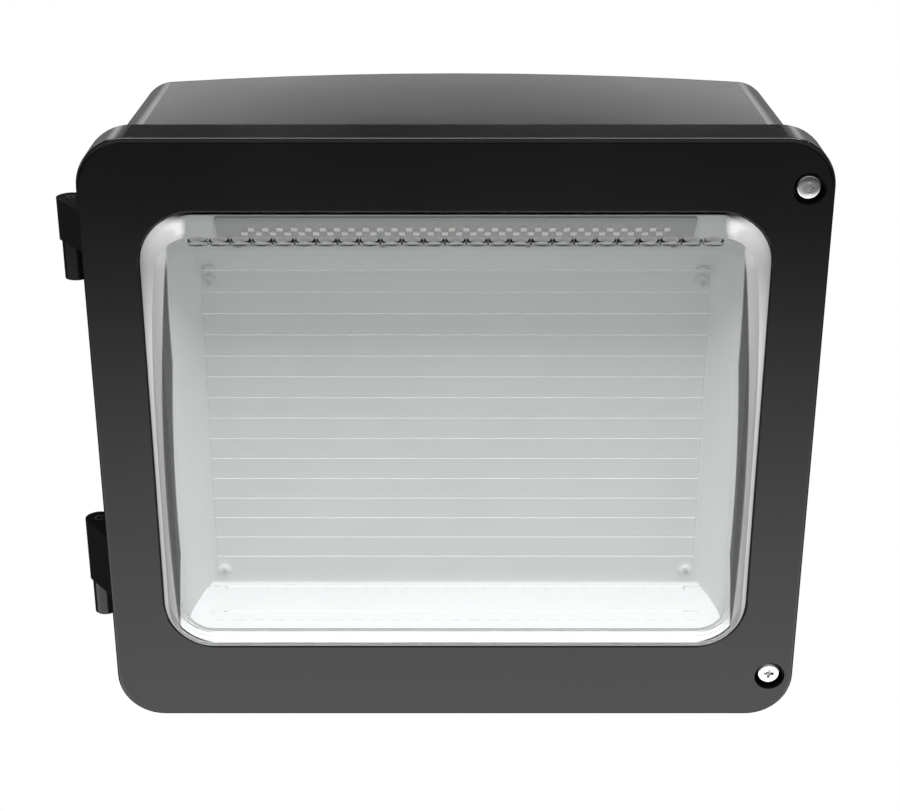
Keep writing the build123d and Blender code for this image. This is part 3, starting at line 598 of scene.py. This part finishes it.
def link_painted_wall_light(tree, scatter, share):
    """Painted light and shade on the side walls: a pale edge of painted light, and inside it a grey
    stripe and a curved dark line of painted shade.
    """
    aside, height, depth = lens_place(tree)
    below_top = fade(tree, height, 108 * mm, 94 * mm)
    beside_face = product(tree, fade(tree, height, -112 * mm, -100 * mm), below_top)

    # The pale edge of painted light follows the glass round its corners and widens towards the top,
    # where it stops short of the flutes.
    lit_rim_growth = 6.2 * mm
    growth = new_math(tree, "POWER", fade(tree, height, -20 * mm, 100 * mm), 3.0)
    from_wall = new_math(tree, "SUBTRACT", depth, product(tree, growth, lit_rim_growth))
    corners = product(tree, fade(tree, aside, 128 * mm, 134 * mm),
                      fade(tree, height, 118 * mm, 112 * mm))
    lit_rim = product(tree, fade(tree, from_wall, 3.7 * mm, 3.3 * mm),
                  new_math(tree, "MAXIMUM", below_top, corners))

    # The grey stripe and the dark line of painted shade bow in from the wall, nearest to it a
    # little below the middle. The dark line lies beyond the stripe and narrows to nothing towards
    # both ends.
    bow_middle = 32 * mm
    bow_per_metre = 0.45
    shadow_line_width = 5.2 * mm
    shaded_band_edge = (7.1 * mm, 6.6 * mm)
    lifted = new_math(tree, "ADD", height, bow_middle)
    bow = product(tree, lifted, lifted, bow_per_metre)
    from_side = new_math(tree, "SUBTRACT", half_width, aside)
    bowed = new_math(tree, "SUBTRACT", from_side, bow)
    shaded_band = product(tree, fade(tree, bowed, *shaded_band_edge), beside_face)
    shadow_line_ends = product(tree, fade(tree, height, 106 * mm, 45 * mm),
                       fade(tree, height, -110 * mm, -60 * mm))
    past_shaded_band = new_math(tree, "SUBTRACT", bowed, product(tree, shadow_line_ends, shadow_line_width))
    shadow_line = product(tree, fade(tree, bowed, *reversed(shaded_band_edge)),
                  fade(tree, past_shaded_band, *shaded_band_edge), beside_face)

    # Shares of white scatter: painted light on the pale edge, painted shade on the grey stripe and
    # the dark line.
    lit_rim_share, shaded_band_share, shadow_line_share = 0.92, 0.6, 0.62
    inner_share = new_math(tree, "MAXIMUM", product(tree, shaded_band, shaded_band_share),
                           product(tree, shadow_line, shadow_line_share))
    tree.links.new(new_math(tree, "MAXIMUM", product(tree, lit_rim, lit_rim_share), inner_share), share)

    # Painted shade: the grey stripe and the dark line darken the white scatter.
    shaded_band_dark, shadow_line_dark, rim_top_shade = 0.42, 0.92, 0.5
    painted_wall_tone = new_math(tree, "SUBTRACT", glass_white, product(tree, shaded_band, shaded_band_dark))
    painted_wall_tone = new_math(tree, "SUBTRACT", painted_wall_tone, product(tree, shadow_line, shadow_line_dark))
    # Painted shade: the pale edge of painted light dims towards the top.
    rim_shade_fall = product(tree, fade(tree, height, 50 * mm, 100 * mm), rim_top_shade)
    lit_rim_tone = new_math(tree, "SUBTRACT", glass_white, rim_shade_fall)
    off_lit_rim = new_math(tree, "SUBTRACT", 1.0, lit_rim)
    painted_wall_tone = new_math(tree, "ADD", product(tree, painted_wall_tone, off_lit_rim), product(tree, lit_rim, lit_rim_tone))
    tree.links.new(painted_wall_tone, scatter.inputs["Color"])


def link_stipple(tree, shader):
    """Roughness of the glass: polished outside the prisms' area and stippled within it."""
    polished, stippled = 0.02, 0.13
    aside, height, _ = lens_place(tree)
    area = product(tree, fade(tree, aside, 128 * mm, 124 * mm),
                   fade(tree, height, 94 * mm, 90 * mm),
                   fade(tree, height, -80 * mm, -74 * mm))
    roughness = new_math(tree, "MULTIPLY_ADD", area, stippled, polished)
    tree.links.new(roughness, shader.inputs["Roughness"])


glass, glass_tree, glass_shader, glass_scatter, glass_share = start_glass("pressed_glass")
link_painted_wall_light(glass_tree, glass_scatter, glass_share)
link_stipple(glass_tree, glass_shader)
finish_piece(lens, "door", glass, "lens")

# The prisms' upper faces carry a white scatter that paints thin bright lines on them, a painted
# highlight made stronger towards the foot; the lamps light the scatter as well.
steep_highlight_glass, steep_tree, _, _, steep_highlight_share = start_glass("steep_faces_highlight")
_, steep_height, _ = lens_place(steep_tree)
highlight_top_share, highlight_added_share = 0.25, 0.6
highlight_lowness = fade(steep_tree, steep_height, 70 * mm, -70 * mm)
steep_tree.links.new(
    new_math(steep_tree, "MULTIPLY_ADD", highlight_lowness, highlight_added_share, highlight_top_share), steep_highlight_share)
lens.data.materials.append(steep_highlight_glass)
for face in lens.data.polygons:
    on_prisms = (inner_front + 0.2 * mm < face.center.y < prism_crest
                 and abs(face.center.x) < prism_length / 2)
    if on_prisms and face_looks(face, "Z"):
        face.material_index = 1

# --- Door screws ---------------------------------------------------------------------------------
# Two captive M6 pan head screws in bright zinc-plated steel: a tapered cross recess, a plain
# neck that runs in its zinc-plated retaining washer and a rolled thread at the tip.
head_radius = 6.25 * mm
head_height = 4.6 * mm
head_rounding = 1.3 * mm
head_chamfer = 0.3 * mm
neck_radius = 2.5 * mm
neck_root = 0.5 * mm
tip_chamfer = 0.8 * mm
thread_radius = 2.9 * mm
thread_pitch = 1.0 * mm
thread_turns = 10
thread_end = 0.9 * mm
ridge_width = 0.8 * thread_pitch
ridge_chamfer = 0.36 * mm
shank_sides = 32
recess_width = 2.1 * mm
recess_length = 7.4 * mm
recess_depth = 3.0 * mm
recess_taper = (0.45, 1, 0.6)     # shares of length, depth and width that are left at its floor


def round_bar(name, radius, low, high, centre, sides=48):
    """A closed round bar along Y between two depths, in edit mode with nothing selected."""
    clear_selection()
    bpy.ops.mesh.primitive_cylinder_add(vertices=sides, radius=radius, depth=high - low)
    piece = bpy.context.object
    piece.name = name
    bpy.ops.object.mode_set(mode="EDIT")
    bpy.ops.mesh.select_all(action="SELECT")
    bpy.ops.transform.rotate(value=math.radians(90), orient_axis="X", center_override=(0, 0, 0))
    bpy.ops.transform.translate(value=(centre.x, (low + high) / 2, centre.z))
    bpy.ops.mesh.select_all(action="DESELECT")
    return piece


def recess_blade(name, place, turn):
    """One blade of the cross recess, half in front of the head and narrower at its floor."""
    half = Vector((recess_length / 2, recess_depth, recess_width / 2))
    blade = start_box(name, -half, half)
    pick(blade, "FACE", lambda face: face_looks(face, "Y"))
    bpy.ops.transform.resize(value=recess_taper, center_override=(0, half.y, 0))
    bpy.ops.mesh.select_all(action="SELECT")
    bpy.ops.transform.rotate(value=math.radians(turn), orient_axis="Y", center_override=(0, 0, 0))
    bpy.ops.transform.translate(value=place)
    bpy.ops.object.mode_set(mode="OBJECT")
    return blade


def cut_from(piece, cutter):
    """Takes a closed mesh out of the piece and removes it."""
    apply_modifier(piece, "BOOLEAN", operation="DIFFERENCE", solver="EXACT", object=cutter)
    bpy.data.objects.remove(cutter)


def door_screw(name, node, turn):
    """One screw on a CAD screw's place, its recess turned by some degrees."""
    low, high = (Vector(corner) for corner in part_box(node))
    centre = (low + high) / 2
    front, tip = low.y, high.y
    seat = front + head_height
    screw = round_bar(name, head_radius, front, seat, centre)
    bevel_where(screw, lambda edge: edge_lies(edge, front), head_rounding, segments=5)
    bevel_where(screw, lambda edge: edge_lies(edge, seat), head_chamfer, segments=2)
    bpy.ops.object.mode_set(mode="OBJECT")
    neck = round_bar(f"{name}_neck", neck_radius, seat - neck_root, tip, centre, shank_sides)
    bevel_where(neck, lambda edge: edge_lies(edge, tip), tip_chamfer, segments=2)
    bpy.ops.object.mode_set(mode="OBJECT")
    merge_into(screw, neck)
    last_ridge = tip - thread_end
    ridge = round_bar(f"{name}_thread", thread_radius, last_ridge - ridge_width, last_ridge,
                      centre, shank_sides)
    bevel_where(ridge, lambda edge: not edge_runs(edge, "Y"), ridge_chamfer, segments=1)
    bpy.ops.object.mode_set(mode="OBJECT")
    repeat(ridge, thread_turns, (0, -thread_pitch, 0))
    merge_into(screw, ridge)
    for blade_turn in (turn, turn + 90):
        place = (centre.x, front, centre.z)
        cut_from(screw, recess_blade(f"{name}_blade", place, blade_turn))
    return screw


bright_zinc = bare_metal("bright_zinc", (0.86, 0.86, 0.86), roughness=0.18, lines_per_metre=700)
for name, turn in (("upper", 8), ("lower", -3)):
    screw = door_screw(f"door_screw_{name}_zinc", f"door_screw_{name}", turn)
    bpy.ops.object.mode_set(mode="EDIT")
    bpy.ops.mesh.select_all(action="SELECT")
    bpy.ops.mesh.normals_make_consistent(inside=False)
    finish_piece(screw, f"{name}_screw", bright_zinc, f"door_screw_{name}", sharp=25)
    dress(f"screw_retainer_{name}", zinc)

# --- Camera --------------------------------------------------------------------------------------
# It looks down at the door from in front, as the photograph does. Its place comes from a fit to
# the corners of door, window and housing.
door_front = 0.180
camera_aside = -0.0027
camera_away = 0.8175
camera_height = 0.3811
camera_down = math.radians(23.66)
camera_data = bpy.data.cameras.new("camera")
camera_data.lens = 71.74
camera_data.sensor_width = 36
camera = bpy.data.objects.new("camera", camera_data)
camera.location = (camera_aside, -door_front - camera_away, camera_height)
camera.rotation_euler = (math.pi / 2 - camera_down, 0, 0)
bpy.context.collection.objects.link(camera)
bpy.context.scene.camera = camera
bpy.context.scene.view_settings.view_transform = "Standard"

# --- Studio --------------------------------------------------------------------------------------
# A plain white studio with even grey light. Coat, glass and screws mirror another one: pale low
# down in front, dark at eye level, and with one bright strip a little above level at the back.
world = bpy.data.worlds.new("studio")
bpy.context.scene.world = world
world.use_nodes = True
studio = world.node_tree
direction = studio.nodes.new("ShaderNodeTexCoord")
split = studio.nodes.new("ShaderNodeSeparateXYZ")
studio.links.new(direction.outputs["Generated"], split.inputs["Vector"])
upwards = studio.nodes.new("ShaderNodeMapRange")     # 0 straight down, 0.5 level, 1 straight up
upwards.inputs["From Min"].default_value = -1
upwards.inputs["From Max"].default_value = 1
studio.links.new(split.outputs["Z"], upwards.inputs["Value"])
in_front = add_ramp(studio, upwards.outputs["Result"], [
    (0.0, 0.3),
    (0.15, 1.0),
    (0.235, 0.92),
    (0.29, 0.55),
    (0.345, 0.05),
    (0.5, 0.0),
    (0.75, 0.2),
    (1.0, 0.2),
])
at_back = add_ramp(studio, upwards.outputs["Result"], [
    (0.0, 0.02),
    (0.4, 0.02),
    (0.45, 0.12),
    (0.545, 0.12),
    (0.575, 0.9),
    (0.594, 0.22),
    (0.602, 0.0),
    (0.8, 0.0),
    (1.0, 0.02),
])
is_back = new_math(studio, "GREATER_THAN", split.outputs["Y"], 0.0)
around = studio.nodes.new("ShaderNodeMix")
around.data_type = "RGBA"
studio.links.new(is_back, around.inputs["Factor"])
studio.links.new(in_front, around.inputs["A"])
studio.links.new(at_back, around.inputs["B"])
mirrored = studio.nodes["Background"]
mirrored.inputs["Strength"].default_value = 2.2
studio.links.new(around.outputs["Result"], mirrored.inputs["Color"])
fill = studio.nodes.new("ShaderNodeBackground")
fill.inputs["Color"].default_value = (0.6, 0.6, 0.6, 1)
plain = studio.nodes.new("ShaderNodeBackground")
plain.inputs["Color"].default_value = (1, 1, 1, 1)
rays = studio.nodes.new("ShaderNodeLightPath")
lighting = studio.nodes.new("ShaderNodeMixShader")
studio.links.new(rays.outputs["Is Glossy Ray"], lighting.inputs["Fac"])
studio.links.new(fill.outputs["Background"], lighting.inputs[1])
studio.links.new(mirrored.outputs["Background"], lighting.inputs[2])
seen = studio.nodes.new("ShaderNodeMixShader")
studio.links.new(rays.outputs["Is Camera Ray"], seen.inputs["Fac"])
studio.links.new(lighting.outputs["Shader"], seen.inputs[1])
studio.links.new(plain.outputs["Background"], seen.inputs[2])
studio.links.new(seen.outputs["Shader"], studio.nodes["World Output"].inputs["Surface"])

# --- Lights --------------------------------------------------------------------------------------
# A square soft box high in front, kept out of mirrored and refracted rays, and a long strip high
# behind that draws a soft edge along the housing's top.


def soft_box(name, place, aim, width, height, power):
    """A rectangular area light aimed at a point."""
    data = bpy.data.lights.new(name, "AREA")
    data.shape = "RECTANGLE"
    data.size = width
    data.size_y = height
    data.energy = power
    lamp = bpy.data.objects.new(name, data)
    lamp.location = place
    lamp.rotation_euler = (Vector(aim) - Vector(place)).to_track_quat("-Z", "Y").to_euler()
    bpy.context.collection.objects.link(lamp)
    return lamp


key = soft_box("key", place=(0.05, -0.72, 2.1), aim=(0, -0.15, 0), width=0.8, height=0.8, power=55)
key.visible_glossy = False
key.visible_transmission = False
soft_box("strip", place=(0, 0.75, 1.5), aim=(0, -0.18, 0.1), width=2.0, height=0.3, power=16)

# --- Floor ---------------------------------------------------------------------------------------
# A plain pale floor well below the light. The camera sees it as white as the studio, and the
# object neither mirrors it nor throws a shadow on it.
floor_height = -0.75
floor_size = 12
clear_selection()
bpy.ops.mesh.primitive_plane_add(size=floor_size, location=(0, 0, floor_height))
floor = bpy.context.object
floor.name = "floor"
floor_material, floor_tree, floor_shader = new_material("pale_floor")
floor_shader.inputs["Base Color"].default_value = (0.8, 0.8, 0.8, 1)
floor_shader.inputs["Roughness"].default_value = 0.9
floor_white = floor_tree.nodes.new("ShaderNodeEmission")
floor_rays = floor_tree.nodes.new("ShaderNodeLightPath")
floor_mix = floor_tree.nodes.new("ShaderNodeMixShader")
floor_tree.links.new(floor_rays.outputs["Is Camera Ray"], floor_mix.inputs["Fac"])
floor_tree.links.new(floor_shader.outputs["BSDF"], floor_mix.inputs[1])
floor_tree.links.new(floor_white.outputs["Emission"], floor_mix.inputs[2])
floor_output = floor_tree.nodes["Material Output"]
floor_tree.links.new(floor_mix.outputs["Shader"], floor_output.inputs["Surface"])
floor.data.materials.append(floor_material)
floor.visible_glossy = False
floor.visible_diffuse = False
floor.visible_shadow = False
